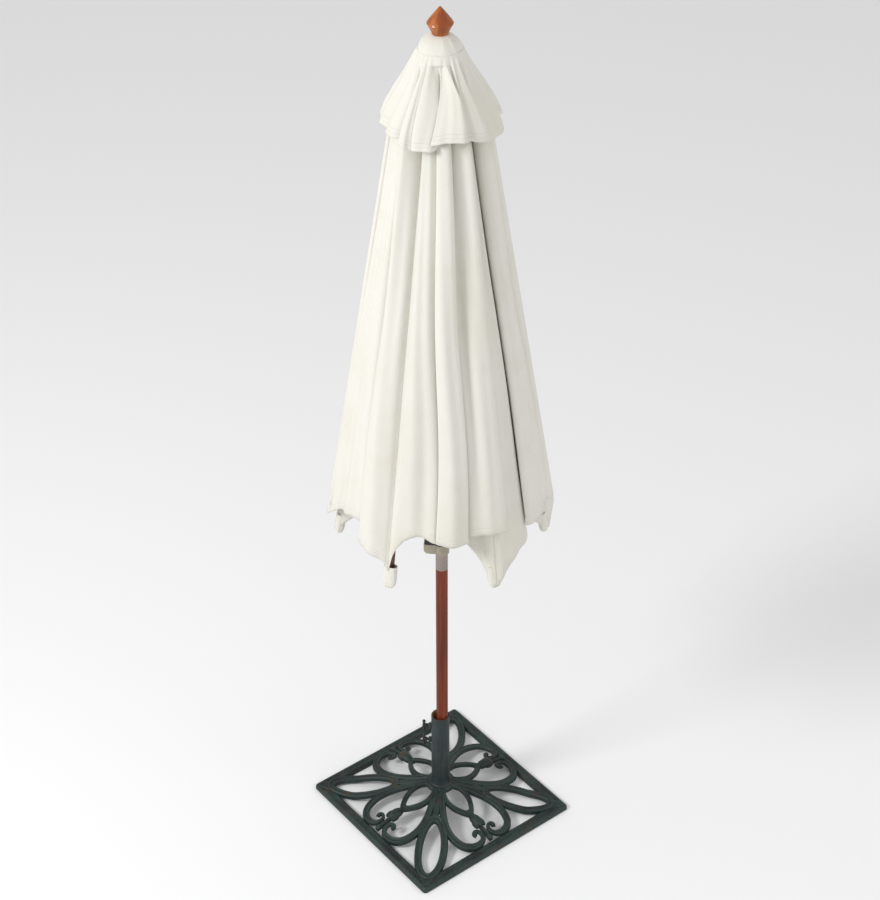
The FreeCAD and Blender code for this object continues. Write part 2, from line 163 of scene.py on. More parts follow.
def castPatina():
    look = dict(dark=(0.007, 0.011, 0.011), green=(0.019, 0.040, 0.034), rust=(0.060, 0.030, 0.015),
                grain=900, bumpHeight=0.0006)
    paint = Paint("castPatina")
    at = paint.place()
    cloud = paint.noise(at, 14, 5, 0.6)
    speck = paint.noise(at, 120, 3, 0.6)
    cast = paint.noise(at, look["grain"], 2, 0.5)
    green = paint.fade(cloud + speck * 0.35, 0.52, 0.82)
    colour = paint.mix(green, look["dark"], look["green"])
    ridge = paint.add("ShaderNodeNewGeometry", out="Pointiness")
    worn = paint.fade(ridge + speck * 0.06, 0.535, 0.60)
    colour = paint.mix(worn * 0.55, colour, look["green"])
    rusty = paint.fade(paint.noise(at, 33, 4, 0.65) + cloud * 0.3, 0.70, 0.86)
    colour = paint.mix(rusty * 0.6, colour, look["rust"])
    rough = 0.42 + cloud * 0.25 - worn * 0.08
    skin = speck * 0.6 + cast * 0.5
    return paint.finish(Base_Color=colour, Roughness=rough, Normal=paint.bump(skin, look["bumpHeight"]),
                        Metallic=0.15)


def stemPaint():
    look = dict(dark=(0.013, 0.021, 0.022), green=(0.030, 0.046, 0.045), scuff=(0.075, 0.055, 0.035))
    paint = Paint("stemPaint")
    at = paint.place(scale=(1, 1, 0.12))
    streak = paint.noise(at, 160, 4, 0.6)
    cloud = paint.noise(paint.place(), 18, 4, 0.6)
    faded = paint.fade(streak * 0.5 + cloud * 0.5, 0.35, 0.70)
    colour = paint.mix(faded, look["dark"], look["green"])
    scuff = paint.fade(paint.noise(paint.place(), 55, 3, 0.7), 0.66, 0.80)
    colour = paint.mix(scuff * 0.5, colour, look["scuff"])
    orange = paint.noise(paint.place(), 700, 2, 0.4)
    return paint.finish(Base_Color=colour, Roughness=0.34 + streak * 0.22, Metallic=0.2,
                        Normal=paint.bump(orange, 0.0002))


def stainedWood(name, deep, warm, light, along=0.05, coat=0.05, grainScale=95):
    paint = Paint(name)
    at = paint.place(scale=(1, 1, along))
    sway = paint.noise(at, 9, 3, 0.5)
    fibre = paint.noise(at, grainScale * 2.6, 5, 0.6)
    band = paint.noise(at, grainScale * 0.55, 3, 0.55)
    colour = paint.mix(paint.fade(band + sway * 0.25, 0.45, 0.78), deep, warm)
    colour = paint.mix(paint.fade(fibre, 0.58, 0.80) * 0.45, colour, light)
    pore = paint.fade(fibre, 0.30, 0.40, 1.0, 0.0)
    colour = paint.mix(pore * 0.55, colour, tuple(c * 0.45 for c in deep))
    grain = paint.bump(fibre - pore * 0.5, 0.00035)
    return paint.finish(Base_Color=colour, Roughness=0.40 + fibre * 0.22, Coat_Weight=coat,
                        Specular_IOR_Level=0.22, Normal=grain)


def satinMetal(name, dark, bright, rough=0.38, scale=(60, 60, 1400)):
    paint = Paint(name)
    lathe = paint.noise(paint.place(scale=scale), 1.0, 3, 0.5)
    dull = paint.noise(paint.place(), 30, 4, 0.6)
    colour = paint.mix(paint.fade(lathe * 0.5 + dull * 0.5, 0.30, 0.70), dark, bright)
    return paint.finish(Base_Color=colour, Metallic=0.85, Roughness=rough + dull * 0.18 - 0.05,
                        Normal=paint.bump(lathe, 0.00008))


def mouldedPlastic(name, base, worn, rough=0.45, grain=1500):
    paint = Paint(name)
    at = paint.place()
    stipple = paint.noise(at, grain, 2, 0.5)
    haze = paint.noise(at, 40, 4, 0.6)
    colour = paint.mix(paint.fade(haze, 0.45, 0.75), base, worn)
    return paint.finish(Base_Color=colour, Roughness=rough + haze * 0.15, Normal=paint.bump(stipple, 0.00015))


def canopyCloth():
    look = dict(sun=(0.77, 0.75, 0.685), shade=(0.71, 0.675, 0.565), thread=(0.56, 0.53, 0.44),
                creaseShade=(0.62, 0.575, 0.37), weaveTurns=900.0, weaveBump=0.00018, creaseBump=0.0022,
                hem=0.020, stitchTurns=300)
    paint = Paint("canopyCloth")
    uv = paint.add("ShaderNodeUVMap", {"uv_map": "cloth"})
    across, down = paint.axis(uv, "X"), paint.axis(uv, "Y")
    warp = (across * (look["weaveTurns"] * 2 * math.pi)).maths("SINE")
    weft = (down * (look["weaveTurns"] * 2 * math.pi)).maths("SINE")
    weave = warp * weft
    at = paint.place()
    # painted shade: a large noise cloud mixes the cloth from its sunlit colour towards its shaded colour
    shadeCloud = paint.noise(at, 5, 5, 0.6)
    slub = paint.noise(paint.add("ShaderNodeMapping", {}, {0: uv, "Scale": (260.0, 14.0, 1.0)}), 1.0, 3, 0.6)
    colour = paint.mix(paint.fade(shadeCloud, 0.42, 0.68) * 0.55, look["sun"], look["shade"])
    colour = paint.mix(paint.fade(slub, 0.56, 0.74) * 0.12, colour, look["thread"])
    # painted shade: hollow creases, found by their pointiness, are mixed towards a darker, yellower shade
    # colour
    pointy = paint.add("ShaderNodeNewGeometry", out="Pointiness")
    creaseShadeMask = paint.fade(pointy, 0.40, 0.49, 1.0, 0.0)
    colour = paint.mix(creaseShadeMask * 0.6, colour, look["creaseShade"])
    stitchLine = hemLine(paint, down, look["hem"]) + hemLine(paint, down, look["hem"] * 0.55)
    dash = paint.fade((across * (2 * math.pi * look["stitchTurns"])).maths("SINE"), -0.2, 0.2)
    stitch = stitchLine * dash
    colour = paint.mix(stitch * 0.5, colour, look["thread"])
    hemFold = paint.fade(down, look["hem"] - 0.001, look["hem"] + 0.001, 1.0, 0.0)
    stretched = paint.add("ShaderNodeMapping", {}, {0: uv, "Scale": (16.0, 5.0, 1.0)})
    wrinkle = paint.noise(stretched, 1.0, 5, 0.55)
    crush = paint.noise(at, 28, 5, 0.6)
    height = wrinkle * 1.0 + crush * 0.35 + hemFold * 0.25 - stitchLine * 0.25
    coarse = paint.bump(height, look["creaseBump"], 0.55)
    fine = paint.add("ShaderNodeBump", {}, {"Height": weave, "Distance": look["weaveBump"],
                                            "Strength": 0.5, "Normal": coarse})
    paint.feed(paint.shader.inputs["Sheen Weight"], 0.25)
    paint.feed(paint.shader.inputs["Sheen Roughness"], 0.6)
    return paint.finish(Base_Color=colour, Roughness=0.82 + slub * 0.1, Normal=fine)


def hemLine(paint, down, at):
    near = (down - at).maths("ABSOLUTE")
    return paint.fade(near, 0.0004, 0.0011, 1.0, 0.0)


looks = {
    "cast": castPatina(),
    "stem": stemPaint(),
    "pole": stainedWood("poleWood", (0.105, 0.019, 0.008), (0.215, 0.042, 0.015), (0.31, 0.080, 0.030)),
    "finial": stainedWood("finialWood", (0.26, 0.055, 0.008), (0.52, 0.150, 0.022), (0.68, 0.25, 0.05),
                          along=0.35, coat=0.5, grainScale=60),
    "rib": stainedWood("ribWood", (0.050, 0.018, 0.010), (0.105, 0.036, 0.018), (0.17, 0.07, 0.035),
                       along=0.06),
    "hub": stainedWood("hubWood", (0.090, 0.026, 0.012), (0.17, 0.055, 0.025), (0.27, 0.11, 0.05),
                       along=0.25),
    "ferrule": satinMetal("ferruleMetal", (0.26, 0.21, 0.19), (0.38, 0.32, 0.30)),
    "bracket": satinMetal("bracketMetal", (0.28, 0.25, 0.19), (0.44, 0.40, 0.33), 0.34, (300, 300, 300)),
    "steel": satinMetal("platedSteel", (0.38, 0.38, 0.38), (0.60, 0.60, 0.59), 0.30),
    "brass": satinMetal("pinBrass", (0.45, 0.30, 0.10), (0.70, 0.50, 0.20), 0.30),
    "black": mouldedPlastic("crankBlack", (0.010, 0.010, 0.011), (0.022, 0.022, 0.023)),
    "iron": mouldedPlastic("screwBlack", (0.008, 0.009, 0.009), (0.026, 0.022, 0.018), 0.40, 900),
    "liner": mouldedPlastic("linerTan", (0.30, 0.17, 0.07), (0.42, 0.27, 0.12), 0.5),
    "cloth": canopyCloth(),
}
print("materials made")


def deselect():
    if bpy.context.object and bpy.context.object.mode != "OBJECT":
        bpy.ops.object.mode_set(mode="OBJECT")
    bpy.ops.object.select_all(action="DESELECT")


def only(piece):
    deselect()
    piece.select_set(True)
    bpy.context.view_layer.objects.active = piece


def settle(piece):
    only(piece)
    bpy.ops.object.transform_apply(location=True, rotation=True, scale=True)


def applyAll(piece):
    only(piece)
    for modifier in list(piece.modifiers):
        bpy.ops.object.modifier_apply(modifier=modifier.name)


def dress(piece, look, body, replaced=(), smooth=40):
    piece.data.materials.clear()
    piece.data.materials.append(looks[look])
    if smooth:
        only(piece)
        bpy.ops.object.shade_smooth_by_angle(angle=math.radians(smooth))
    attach(piece, body)
    if replaced:
        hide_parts(*replaced)
    return piece


def meshPiece(name, points, faces):
    mesh = bpy.data.meshes.new(name)
    mesh.from_pydata([tuple(p) for p in points], [], faces)
    mesh.update()
    piece = bpy.data.objects.new(name, mesh)
    bpy.context.scene.collection.objects.link(piece)
    return piece


def mended(piece, merge=0.0, outward=True):
    # merges points closer than the given distance and turns the faces outwards
    only(piece)
    bpy.ops.object.mode_set(mode="EDIT")
    bpy.ops.mesh.select_all(action="SELECT")
    if merge:
        bpy.ops.mesh.remove_doubles(threshold=merge)
    if outward:
        bpy.ops.mesh.normals_make_consistent(inside=False)
    bpy.ops.object.mode_set(mode="OBJECT")
    return piece


def ringFaces(rings, width, spans):
    # faces between neighbouring rings of points, of which each is closed
    faces = []
    for ring in range(spans):
        a, b = ring * width, (ring + 1) % rings * width
        for step in range(width):
            n = (step + 1) % width
            faces.append((a + step, b + step, b + n, a + n))
    return faces


def joined(name, pieces):
    deselect()
    for piece in pieces:
        piece.select_set(True)
    bpy.context.view_layer.objects.active = pieces[0]
    if len(pieces) > 1:
        bpy.ops.object.join()
    whole = bpy.context.object
    whole.name = whole.data.name = name
    return whole


def lathe(name, profile, centre=(0, 0), steps=72):
    deselect()
    points = [(radius, 0, height) for radius, height in profile]
    piece = meshPiece(name, points, [])
    mesh = piece.data
    mesh.edges.add(len(points) - 1)
    for index, edge in enumerate(mesh.edges):
        edge.vertices = (index, index + 1)
    only(piece)
    bpy.ops.object.mode_set(mode="EDIT")
    bpy.ops.mesh.select_all(action="SELECT")
    bpy.ops.mesh.spin(steps=steps, angle=2 * math.pi, center=(0, 0, 0), axis=(0, 0, 1))
    bpy.ops.mesh.select_all(action="SELECT")
    bpy.ops.mesh.remove_doubles(threshold=0.00002)
    bpy.ops.mesh.normals_make_consistent(inside=False)
    bpy.ops.object.mode_set(mode="OBJECT")
    piece.location = (centre[0], centre[1], 0)
    settle(piece)
    return piece


viewpoint = dict(away=4.125, height=4.173, bearing=51.797, tilt=35.494, turn=-0.049, roll=0.197,
                 lens=82.120909, sensor=36.0)


def makeCamera():
    lens = bpy.data.cameras.new("camera")
    camera = bpy.data.objects.new("camera", lens)
    bpy.context.scene.collection.objects.link(camera)
    bearing = math.radians(viewpoint["bearing"])
    camera.location = (math.sin(bearing) * viewpoint["away"], -math.cos(bearing) * viewpoint["away"],
                       viewpoint["height"])
    tilt = math.radians(90 - viewpoint["tilt"])
    turn = Matrix.Rotation(bearing - math.radians(viewpoint["turn"]), 4, "Z")
    look = turn @ Matrix.Rotation(tilt, 4, "X") @ Matrix.Rotation(math.radians(-viewpoint["roll"]), 4, "Z")
    camera.rotation_euler = look.to_euler()
    lens.sensor_fit = "HORIZONTAL"
    lens.sensor_width = viewpoint["sensor"]
    lens.lens = viewpoint["lens"]
    lens.clip_end = 200
    bpy.context.scene.camera = camera


studio = dict(floorSize=60, floorColour=(0.93, 0.93, 0.935), skyStrength=0.68, aim=(0, 0, 1.2),
              lamps=(("keyLamp", (-0.6, -4.4, 4.2), 1.5, 150), ("fillLamp", (4.6, 2.2, 3.4), 3.0, 40)))


def makeStudio():
    deselect()
    bpy.ops.mesh.primitive_plane_add(size=studio["floorSize"], location=(0, 0, -0.0004))
    floor = bpy.context.object
    floor.name = "floor"
    settle(floor)
    paint = Paint("paleFloor")
    floor.data.materials.append(paint.finish(Base_Color=studio["floorColour"], Roughness=0.9))
    world = bpy.data.worlds.new("studio")
    bpy.context.scene.world = world
    world.use_nodes = True
    sky = world.node_tree.nodes["Background"]
    sky.inputs["Color"].default_value = (1, 1, 1, 1)
    sky.inputs["Strength"].default_value = studio["skyStrength"]
    for name, at, size, power in studio["lamps"]:
        lamp = bpy.data.lights.new(name, "AREA")
        lamp.energy, lamp.size, lamp.shape = power, size, "DISK"
        holder = bpy.data.objects.new(name, lamp)
        holder.location = at
        holder.rotation_euler = (Vector(studio["aim"]) - Vector(at)).to_track_quat("-Z", "Y").to_euler()
        bpy.context.scene.collection.objects.link(holder)
    bpy.context.scene.view_settings.view_transform = "Standard"
    bpy.context.scene.view_settings.look = "None"


makeCamera()
makeStudio()
print("camera, floor and lights placed")


# The bud and leaf are where they start and end, out from the stand's middle, and their half width. The spoke,
# stalk and corner are where they start, their length and their steps. A bar is its width and height, with its
# groove and rims if they differ. A bead is where it lies, out and to the side, and its half length, half
# width and height. The hub is turned from radii and heights.
stand = dict(
    half=0.260, frameWidth=0.030, cornerRadius=0.010, domeTop=0.072, domeEdge=0.020, domeFrom=0.042,
    domeReach=0.250,
    frame=[(0.0, 0.0), (0.0, 0.0085), (0.0022, 0.0125), (0.0060, 0.0150), (0.0105, 0.0150), (0.0130, 0.0138),
           (0.0185, 0.0138), (0.0210, 0.0152), (0.0262, 0.0152), (0.0290, 0.0128)],
    petal=[(0.033, 0.018), (0.055, 0.037), (0.080, 0.056), (0.105, 0.072), (0.130, 0.083), (0.155, 0.089),
           (0.182, 0.088), (0.206, 0.080), (0.221, 0.062), (0.226, 0.041), (0.221, 0.021), (0.206, 0.0125),
           (0.192, 0.0165), (0.187, 0.028), (0.194, 0.037), (0.202, 0.032)],
    petalBar=(0.020, 0.012), petalTaper=0.55, taperFrom=0.66, taperOver=0.30,
    bud=(0.010, 0.139, 0.0315), budBar=(0.014, 0.011), budBulge=0.86,
    leaf=(0.128, 0.318, 0.0355), leafBar=(0.021, 0.012),
    spoke=(0.028, 0.10, 12), spokeBar=(0.026, 0.0115), spokeTaper=0.35,
    stalk=(0.124, 0.105, 14), stalkBar=(0.012, 0.011),
    corner=(0.308, 0.046, 6), cornerBar=(0.046, 0.0115, 0.02, 0.02), cornerTaper=0.72,
    curlEye=(0.197, 0.0305, 0.0050, 0.0050, 0.0075),
    leafBead=(0.172, 0.0115, 0.0150, 0.0060, 0.0095),
    middleBeads=((0.161, 0, 0.026, 0.0150, 0.0120), (0.180, 0, 0.010, 0.0080, 0.0085),
                 (0.222, 0, 0.0100, 0.0085, 0.0090)),
    beadSink=0.003,
    hub=[(0.0, 0.060), (0.030, 0.0585), (0.0415, 0.0595), (0.0425, 0.066), (0.0410, 0.0705), (0.0370, 0.0735),
         (0.0335, 0.0735), (0.0318, 0.0765), (0.0290, 0.0790), (0.0262, 0.0792), (0.0, 0.0792)])


def softened(points, rounds=3):
    # corner cutting that keeps the two ends
    for _ in range(rounds):
        cut = [points[0]]
        for a, b in zip(points[:-1], points[1:]):
            cut.append(tuple(p * 0.75 + q * 0.25 for p, q in zip(a, b)))
            cut.append(tuple(p * 0.25 + q * 0.75 for p, q in zip(a, b)))
        cut.append(points[-1])
        points = cut
    return points


def domeZ(x, y):
    away = math.hypot(x, y)
    share = min(1, max(0, (away - stand["domeFrom"]) / (stand["domeReach"] - stand["domeFrom"])))
    return stand["domeTop"] + (stand["domeEdge"] - stand["domeTop"]) * share


def barProfile(width, height, groove=0.10, rim=0.10):
    half = width / 2
    shape = ((-1.0, -1.0), (-1.0, -0.34), (-0.90, -0.08), (-0.66, rim), (-0.38, 0.02), (-0.16, -groove),
             (0.16, -groove), (0.38, 0.02), (0.66, rim), (0.90, -0.08), (1.0, -0.34), (1.0, -1.0))
    return [(x * half, z * height) for x, z in shape]


def sweepBar(name, path, profile, closed=True, lift=0.0, taper=None):
    # the path is seen from above, the bar's top follows the dome and its sides stay upright
    count = len(path)
    rows = []
    for index, (x, y) in enumerate(path):
        before = path[(index - 1) % count] if closed or index else path[index]
        after = path[(index + 1) % count] if closed or index < count - 1 else path[index]
        along = Vector((after[0] - before[0], after[1] - before[1], 0)).normalized()
        side = Vector((along.y, -along.x, 0))
        size = taper(index / max(1, count - 1)) if taper else 1.0
        for offset, height in profile:
            px, py = x + side.x * offset * size, y + side.y * offset * size
            rows.append((px, py, domeZ(px, py) + lift + height * size))
    width = len(profile)
    faces = ringFaces(count, width, count if closed else count - 1)
    if not closed:
        faces.append(tuple(range(width)))
        faces.append(tuple(reversed(range((count - 1) * width, count * width))))
    return mended(meshPiece(name, rows, faces))


def spinPath(path, quarter, extra=0.0):
    angle = math.pi / 2 * quarter + extra
    c, s = math.cos(angle), math.sin(angle)
    return [(x * c - y * s, x * s + y * c) for x, y in path]


def ovalPath(near, far, halfWidth, steps=56):
    centre, half = (near + far) / 2, (far - near) / 2
    path = []
    for step in range(steps):
        angle = 2 * math.pi * step / steps
        path.append((centre + half * math.cos(angle), halfWidth * math.sin(angle)))
    return path


def straightPath(start, length, steps):
    return [(start + length * step / steps, 0) for step in range(steps + 1)]


def smoothPath(points, steps):
    # even steps along a rounded line through the points
    line = np.array(softened(points, 3), float)
    run = np.concatenate([[0], np.cumsum(np.hypot(*np.diff(line, axis=0).T))])
    at = np.linspace(0, run[-1], steps)
    return list(zip(np.interp(at, run, line[:, 0]), np.interp(at, run, line[:, 1])))


def petalPath(side, steps=90):
    # half of a side's petal: out from the hub, round beside the frame and into its curl
    return smoothPath([(x, side * y) for x, y in stand["petal"]], steps)


def budPath(near, far, halfWidth, steps=52):
    # pointed at both ends and bulging between them
    path = []
    for step in range(steps):
        share = step / steps * 2
        side = 1 if share < 1 else -1
        along = share if share < 1 else 2 - share
        bulge = math.sin(math.pi * along) ** stand["budBulge"]
        path.append((near + (far - near) * along, side * halfWidth * bulge))
    return path


def beadLump(name, x, y, halfLong, halfWide, height, turn):
    deselect()
    bpy.ops.mesh.primitive_uv_sphere_add(segments=24, ring_count=14, radius=1)
    lump = bpy.context.object
    lump.name = name
    lump.scale = (halfLong, halfWide, height)
    lump.rotation_euler = (0, 0, turn)
    c, s = math.cos(turn), math.sin(turn)
    px, py = x * c - y * s, x * s + y * c
    lump.location = (px, py, domeZ(px, py) - stand["beadSink"])
    settle(lump)
    return lump


def frameRing():
    # each corner is a row of the same cross-section, fanned out until its points meet inside
    half, radius, width = stand["half"], stand["cornerRadius"], stand["frameWidth"]
    tightest = 0.001
    profile = stand["frame"] + [(width, 0.0090), (width, 0.0)]
    corners = 10
    rows, rings = [], 0
    for corner in range(4):
        start = math.pi / 2 * corner
        cx = (half - radius) * (1 if corner in (0, 3) else -1)
        cy = (half - radius) * (1 if corner in (0, 1) else -1)
        for step in range(corners + 1):
            angle = start + math.pi / 2 * step / corners
            for inward, height in profile:
                reach = radius - inward
                if reach > tightest:
                    x, y = cx + reach * math.cos(angle), cy + reach * math.sin(angle)
                else:
                    spare = tightest - reach
                    x = cx + tightest * math.cos(angle) - math.copysign(spare, cx)
                    y = cy + tightest * math.sin(angle) - math.copysign(spare, cy)
                rows.append((x, y, height))
            rings += 1
    return mended(meshPiece("frameRing", rows, ringFaces(rings, len(profile), rings)), merge=0.00001)


def petalTaper(share):
    thinned = min(1, max(0, share - stand["taperFrom"]) / stand["taperOver"])
    return 1.0 - stand["petalTaper"] * thinned


def makeStand():
    s = stand
    diagonal = math.pi / 4
    bits = [frameRing()]
    for quarter in range(4):
        turn = math.pi / 2 * quarter
        bud, leaf = budPath(*s["bud"]), ovalPath(*s["leaf"])
        bits.append(sweepBar("bud", spinPath(bud, quarter), barProfile(*s["budBar"]), lift=0.001))
        bits.append(sweepBar("leaf", spinPath(leaf, quarter, diagonal), barProfile(*s["leafBar"])))
        bits.append(sweepBar("spoke", spinPath(straightPath(*s["spoke"]), quarter, diagonal),
                             barProfile(*s["spokeBar"]), closed=False, lift=-0.0005,
                             taper=lambda share: 1.0 - s["spokeTaper"] * share))
        for side in (-1, 1):
            bits.append(sweepBar("petal", spinPath(petalPath(side), quarter), barProfile(*s["petalBar"]),
                                 closed=False, taper=petalTaper))
            for name in ("curlEye", "leafBead"):
                out, aside, *size = s[name]
                bits.append(beadLump(name, out, side * aside, *size, turn))
        bits.append(sweepBar("stalk", spinPath(straightPath(*s["stalk"]), quarter),
                             barProfile(*s["stalkBar"]), closed=False, lift=0.0005))
        for bead in s["middleBeads"]:
            bits.append(beadLump("bead", *bead, turn))
        bits.append(sweepBar("cornerWeb", spinPath(straightPath(*s["corner"]), quarter, diagonal),
                             barProfile(*s["cornerBar"]), closed=False, lift=-0.0035,
                             taper=lambda share: 1.0 - s["cornerTaper"] * share))
    bits.append(lathe("hubRing", s["hub"], steps=64))
    plate = joined("basePlate", bits)
    plate.location = (stemX, stemY, 0)
    settle(plate)
    dress(plate, "cast", "base", ("base_plate",), smooth=50)


makeStand()
print("stand cast")


socket = dict(outer=0.0255, inner=0.0230, low=0.0755, top=0.3250, lip=0.0012, liner=0.0215)


def makeSocket():
    o, i, low, top, lip = (socket[key] for key in ("outer", "inner", "low", "top", "lip"))
    profile = [(i, low + 0.004), (i, top - lip), (i + lip * 0.6, top), (o - lip * 0.6, top), (o, top - lip),
               (o, low + 0.016), (o + 0.0012, low + 0.010), (o + 0.0036, low + 0.005), (o + 0.0042, low),
               (i, low), (i, low + 0.004)]
    stem = lathe("socketTube", profile, (stemX, stemY), 80)
    dress(stem, "stem", "base", ("base_stem",), smooth=35)
    t = socket["liner"]
    profile = [(t, low + 0.006), (t, top - 0.0022), (t + 0.0005, top - 0.0012), (i - 0.0002, top - 0.0012),
               (i - 0.0002, low + 0.006), (t, low + 0.006)]
    liner = lathe("socketLiner", profile, (stemX, stemY), 72)
    dress(liner, "liner", "base", ("stem_liner",), smooth=35)


def ringRod(name, radius, start, end, steps=24, bevel=0.0005):
    # round rod from one point to another with softened ends
    start, end = Vector(start), Vector(end)
    along = end - start
    deselect()
    bpy.ops.mesh.primitive_cylinder_add(vertices=steps, radius=radius, depth=along.length)
    piece = bpy.context.object
    piece.name = name
    only(piece)
    bpy.ops.object.mode_set(mode="EDIT")
    bpy.ops.mesh.select_mode(type="EDGE")
    bpy.ops.mesh.select_all(action="DESELECT")
    bpy.ops.object.mode_set(mode="OBJECT")
    for edge in piece.data.edges:
        a, b = (piece.data.vertices[v].co for v in edge.vertices)
        edge.select = abs(a.z - b.z) < 1e-6
    bpy.ops.object.mode_set(mode="EDIT")
    bpy.ops.mesh.bevel(offset=bevel, segments=3, profile=0.5, affect="EDGES")
    bpy.ops.object.mode_set(mode="OBJECT")
    piece.rotation_mode = "QUATERNION"
    piece.rotation_quaternion = along.to_track_quat("Z", "Y")
    piece.location = (start + end) / 2
    settle(piece)
    return piece


# Distances out from the socket's axis are where a part starts, or where it starts and ends.
screws = dict(tip=0.0163, head=0.046, shank=0.0040, collar=0.0062, collarSpan=(0.0368, 0.0415), boss=0.0066,
              bossBack=0.0045, bossFront=0.0042, bar=0.0033, barHalf=0.0165, knob=0.0048, knobHalf=0.0152,
              nut=0.0092, nutDepth=0.0085, nutAt=0.0292, nutSoft=0.0008, weld=0.0096,
              weldSpan=(0.0240, 0.0262))


def makeNut(at, side):
    deselect()
    bpy.ops.mesh.primitive_cylinder_add(vertices=6, radius=screws["nut"], depth=screws["nutDepth"])
    nut = bpy.context.object
    nut.rotation_mode = "QUATERNION"
    nut.rotation_quaternion = side.to_track_quat("Z", "Y")
    nut.location = at + side * screws["nutAt"]
    settle(nut)
    modifier = nut.modifiers.new("soft", "BEVEL")
    modifier.width, modifier.segments, modifier.limit_method = screws["nutSoft"], 3, "ANGLE"
    applyAll(nut)
    return nut


def makeScrews():
    s = screws
    side = Vector((math.cos(crankBearing), math.sin(crankBearing), 0))
    up = Vector((0, 0, 1))
    axis = Vector((stemX, stemY, 0))
    nuts = []
    for label in ("upper", "lower"):
        height = up * joints[label + "_screw_turn"]["pos_m"][2]
        at = axis + height
        head = at + side * s["head"]
        near, far = s["collarSpan"]
        shank = ringRod("shank", s["shank"], side * s["tip"] + height, head, 28, 0.0006)
        collar = ringRod("collar", s["collar"], at + side * near, at + side * far, 28, 0.0008)
        back, front = head - side * s["bossBack"], head + side * s["bossFront"]
        boss = ringRod("boss", s["boss"], back, front, 28, 0.0014)
        bar = ringRod("bar", s["bar"], head - up * s["barHalf"], head + up * s["barHalf"], 24, 0.0006)
        knobs = [beadAt("knob", head + up * z, s["knob"]) for z in (-s["knobHalf"], s["knobHalf"])]
        screw = joined(label + "Screw", [shank, collar, boss, bar] + knobs)
        body = label + "_thumb_screw"
        dress(screw, "iron", body, (body,), smooth=40)
        near, far = s["weldSpan"]
        weld = (at + side * near, at + side * far)
        nuts += [makeNut(at, side), ringRod("weld", s["weld"], *weld, 28, 0.0009)]
    dress(joined("weldNuts", nuts), "stem", "base", ("stem_nuts",), smooth=30)


def beadAt(name, at, radius):
    deselect()
    bpy.ops.mesh.primitive_uv_sphere_add(segments=20, ring_count=12, radius=radius, location=at)
    bead = bpy.context.object
    bead.name = name
    settle(bead)
    return bead


makeSocket()
makeScrews()
print("socket and screws made")


pole = dict(soft=0.0007, wall=0.0020, spigotInside=0.00215, ferruleSoft=0.0006, ferruleProud=0.0002)


def makePoles():
    soft, wall, proud = pole["soft"], pole["wall"], pole["ferruleProud"]
    for name, node in (("lowerPole", "lower_pole"), ("upperPole", "upper_pole")):
        low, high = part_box(node)
        r = (high.x - low.x) / 2
        profile = [(r - wall, low.z), (r - soft, low.z), (r, low.z + soft), (r, high.z - soft),
                   (r - soft, high.z), (r - wall, high.z), (r - wall, low.z)]
        dress(lathe(name, profile, steps=64), "pole", "umbrella", (node,), smooth=30)
    low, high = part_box("pole_ferrule")
    under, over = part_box("lower_pole"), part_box("upper_pole")
    bottom, top = under[1].z, over[0].z
    r = (under[1].x - under[0].x) / 2
    spigot = r - pole["spigotInside"]
    neck = r - pole["ferruleSoft"]
    profile = [(spigot - wall, low.z), (spigot, low.z), (spigot, bottom), (neck, bottom + 0.0001),
               (r + proud, bottom + 0.0008), (r + proud, top - 0.0008), (neck, top - 0.0001), (spigot, top),
               (spigot, high.z), (spigot - wall, high.z), (spigot - wall, low.z)]
    ferrule = lathe("poleFerrule", profile, steps=72)
    dress(ferrule, "ferrule", "umbrella", ("pole_ferrule",), 30)


# radii and heights of the turned wood, below and above its widest ring
finialShape = dict(
    height=0.065, pin=0.006, ringAt=0.0268, ringSoft=(0.0005, 0.0252), ringTop=(0.0008, 0.0286),
    below=[(0.0170, 0.0), (0.0182, 0.0012), (0.0205, 0.0070), (0.0246, 0.0155), (0.0282, 0.0222)],
    above=[(0.0262, 0.0338), (0.0205, 0.0412), (0.0145, 0.0490), (0.0086, 0.0566), (0.0040, 0.0622),
           (0.0018, 0.0643)])


def makeFinial():
    s = finialShape
    low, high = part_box("finial")
    r = (high.x - low.x) / 2
    foot = high.z - s["height"]
    profile = [(0.0, low.z), (s["pin"], low.z), (s["pin"], foot - 0.0005)]
    profile += [(radius, foot + height) for radius, height in s["below"]]
    profile += [(r - s["ringSoft"][0], foot + s["ringSoft"][1]), (r, foot + s["ringAt"]),
                (r - s["ringTop"][0], foot + s["ringTop"][1])]
    profile += [(radius, foot + height) for radius, height in s["above"]] + [(0.0, high.z)]
    finial = lathe("finial", profile, steps=72)
    dress(finial, "finial", "umbrella", ("finial",), smooth=28)


makePoles()
makeFinial()
print("poles and finial turned")


